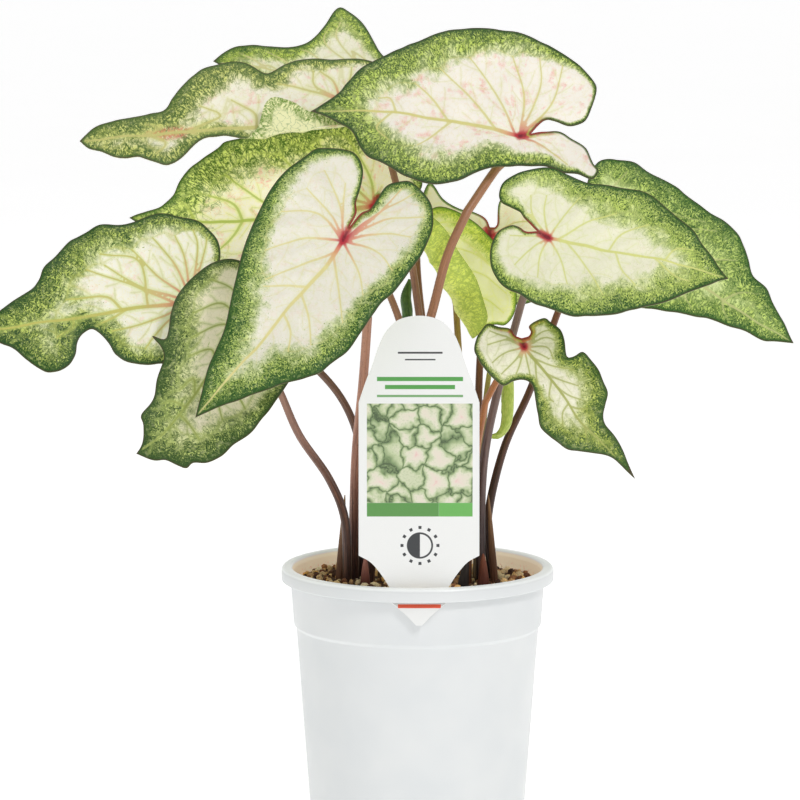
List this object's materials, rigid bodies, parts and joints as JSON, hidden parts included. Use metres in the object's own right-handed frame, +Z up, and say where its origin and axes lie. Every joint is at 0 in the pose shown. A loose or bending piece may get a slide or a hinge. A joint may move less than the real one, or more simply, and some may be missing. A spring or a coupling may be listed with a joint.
{
  "type": "potted caladium",
  "caption": "Caladium with cream, green-edged heart-shaped leaves on slim stalks, standing in a plain white tapered plastic pot with soil and a plant tag.",
  "frame": {"origin": "centre of the pot's underside, on the surface that the pot stands on", "axes": "+Z up along the pot's axis; the plant's front, with its tag, faces -Y; +X is to the right seen from the front"},
  "size_m": [0.3613, 0.1975, 0.3733],
  "materials": {
    "pot": "white satin moulded plastic, faint mould marks",
    "soil": "moist potting mix of peat and bark with tan and near-black granules",
    "tag": "white semi-gloss plant tag with plain printed panels",
    "leaf_blade": "cream centre, speckled green margin, olive veins, soft satin sheen",
    "leaf_stalk": "smooth waxy brown and purple streaked stalk",
    "furled_leaf": "rolled young leaf, green with pale streaks, satin",
    "papery_sheath": "dry papery sheath, matt",
    "bud": "red-brown waxy bud"
  },
  "bodies": {
    "root": {"pot": "pot", "soil": "soil", "tag": "tag", "blade_front": "leaf_blade", "blade_top": "leaf_blade", "blade_right": "leaf_blade", "blade_far_right": "leaf_blade", "blade_left": "leaf_blade", "blade_low_left": "leaf_blade", "blade_mid_left": "leaf_blade", "blade_upper_left": "leaf_blade", "blade_topmost": "leaf_blade", "blade_small_right": "leaf_blade", "blade_young": "leaf_blade", "blade_back_centre": "leaf_blade", "stalk_front": "leaf_stalk", "stalk_top": "leaf_stalk", "stalk_right": "leaf_stalk", "stalk_far_right": "leaf_stalk", "stalk_left": "leaf_stalk", "stalk_low_left": "leaf_stalk", "stalk_mid_left": "leaf_stalk", "stalk_upper_left": "leaf_stalk", "stalk_topmost": "leaf_stalk", "stalk_small_right": "leaf_stalk", "stalk_young": "leaf_stalk", "stalk_back_centre": "leaf_stalk", "furled_right": "furled_leaf", "furled_centre": "furled_leaf", "sheath_left": "papery_sheath", "sheath_right": "papery_sheath", "bud_left": "bud", "sheath_dark": "papery_sheath", "crown_right": "bud"}
  },
  "joints": []
}
